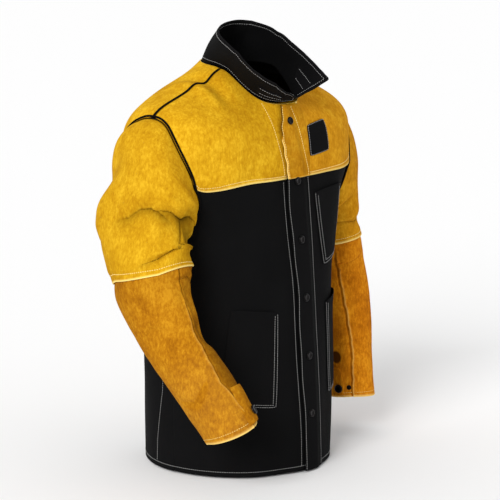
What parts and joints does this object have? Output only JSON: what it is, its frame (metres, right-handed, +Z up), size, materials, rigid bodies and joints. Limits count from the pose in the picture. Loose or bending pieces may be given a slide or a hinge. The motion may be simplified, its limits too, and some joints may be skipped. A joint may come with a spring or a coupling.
{
  "type": "leather welding jacket",
  "caption": "Welding jacket with leather shoulders and sleeves, cotton body, snap-closed lap front, stand collar with grip tapes, patch pockets and tabbed cuffs.",
  "frame": {"origin": "On the body's axis, level with the base of the neck, where a hanger or the wearer's shoulders hold the jacket up", "axes": "+Z up, -Y to the wearer's front, -X to the wearer's right"},
  "size_m": [0.6694, 0.4298, 0.8247],
  "materials": {
    "gold_suede": "napped split cowhide",
    "brown_suede": "napped split cowhide, darker hide",
    "black_cotton": "flame-treated cotton sateen",
    "black_piping": "covered cord",
    "grip_tape": "hook and loop tape",
    "gunmetal": "dark plated"
  },
  "bodies": {
    "jacket_body": {"back_panel": "black_cotton", "back_yoke": "gold_suede", "right_front_panel": "black_cotton", "left_front_panel": "black_cotton", "right_front_yoke": "gold_suede", "left_front_yoke": "gold_suede", "right_shoulder_piping": "black_piping", "left_shoulder_piping": "black_piping", "right_armhole_piping": "black_piping", "left_armhole_piping": "black_piping", "right_hip_pocket": "black_cotton", "left_hip_pocket": "black_cotton", "chest_pocket": "black_cotton", "chest_patch": "black_cotton", "collar_right": "black_cotton", "collar_back": "black_cotton", "collar_loop_tape": "grip_tape", "hanger_loop": "black_piping", "snap_stud_1": "gunmetal", "snap_stud_2": "gunmetal", "snap_stud_3": "gunmetal", "snap_stud_4": "gunmetal", "snap_stud_5": "gunmetal", "snap_stud_6": "gunmetal"},
    "placket": {"placket_cloth": "black_cotton", "placket_leather": "gold_suede", "snap_socket_1": "gunmetal", "snap_socket_2": "gunmetal", "snap_socket_3": "gunmetal", "snap_socket_4": "gunmetal", "snap_socket_5": "gunmetal", "snap_socket_6": "gunmetal", "snap_cap_1": "gunmetal", "snap_cap_2": "gunmetal", "snap_cap_3": "gunmetal", "snap_cap_4": "gunmetal", "snap_cap_5": "gunmetal", "snap_cap_6": "gunmetal"},
    "collar_wing": {"collar_left": "black_cotton", "collar_hook_tape": "grip_tape"},
    "right_upper_arm": {"right_upper_sleeve": "gold_suede", "right_elbow_band": "gold_suede"},
    "right_forearm": {"right_lower_sleeve": "brown_suede", "right_cuff_hem": "brown_suede", "right_cuff_stud": "gunmetal", "right_spare_stud": "gunmetal"},
    "right_tab": {"right_cuff_tab": "brown_suede", "right_cuff_cap": "gunmetal"},
    "left_upper_arm": {"left_upper_sleeve": "gold_suede", "left_elbow_band": "gold_suede"},
    "left_forearm": {"left_lower_sleeve": "brown_suede", "left_cuff_hem": "brown_suede", "left_cuff_stud": "gunmetal", "left_spare_stud": "gunmetal"},
    "left_tab": {"left_cuff_tab": "brown_suede", "left_cuff_cap": "gunmetal"}
  },
  "joints": [
    {"name": "placket_open", "type": "hinge", "parent": "jacket_body", "child": "placket", "pos_m": [0.03312, -0.19004, -0.73997], "axis": [0.0021, 0.0844, 0.9964], "range_deg": [0, 90]},
    {"name": "collar_wing_fold", "type": "hinge", "parent": "jacket_body", "child": "collar_wing", "pos_m": [0.06826, -0.0582, -0.01348], "axis": [-0.376, -0.52, 0.767], "range_deg": [-30, 20]},
    {"name": "right_shoulder_swing", "type": "hinge", "parent": "jacket_body", "child": "right_upper_arm", "pos_m": [-0.24088, -0.01143, -0.07546], "axis": [0, 1, 0], "range_deg": [0, 60]},
    {"name": "right_elbow_bend", "type": "hinge", "parent": "right_upper_arm", "child": "right_forearm", "pos_m": [-0.27774, -0.1072, -0.31743], "axis": [-1, 0, 0], "range_deg": [0, 55]},
    {"name": "right_cuff_tab_open", "type": "hinge", "parent": "right_forearm", "child": "right_tab", "pos_m": [-0.25951, -0.25578, -0.59478], "axis": [0.1086, -0.5166, -0.8493], "range_deg": [0, 80]},
    {"name": "left_shoulder_swing", "type": "hinge", "parent": "jacket_body", "child": "left_upper_arm", "pos_m": [0.24088, -0.01143, -0.07546], "axis": [0, -1, 0], "range_deg": [0, 60]},
    {"name": "left_elbow_bend", "type": "hinge", "parent": "left_upper_arm", "child": "left_forearm", "pos_m": [0.27395, -0.07445, -0.36577], "axis": [-1, 0, 0], "range_deg": [0, 55]},
    {"name": "left_cuff_tab_open", "type": "hinge", "parent": "left_forearm", "child": "left_tab", "pos_m": [0.24034, -0.03616, -0.66684], "axis": [0.0666, -0.1972, -0.9781], "range_deg": [0, 80]}
  ]
}
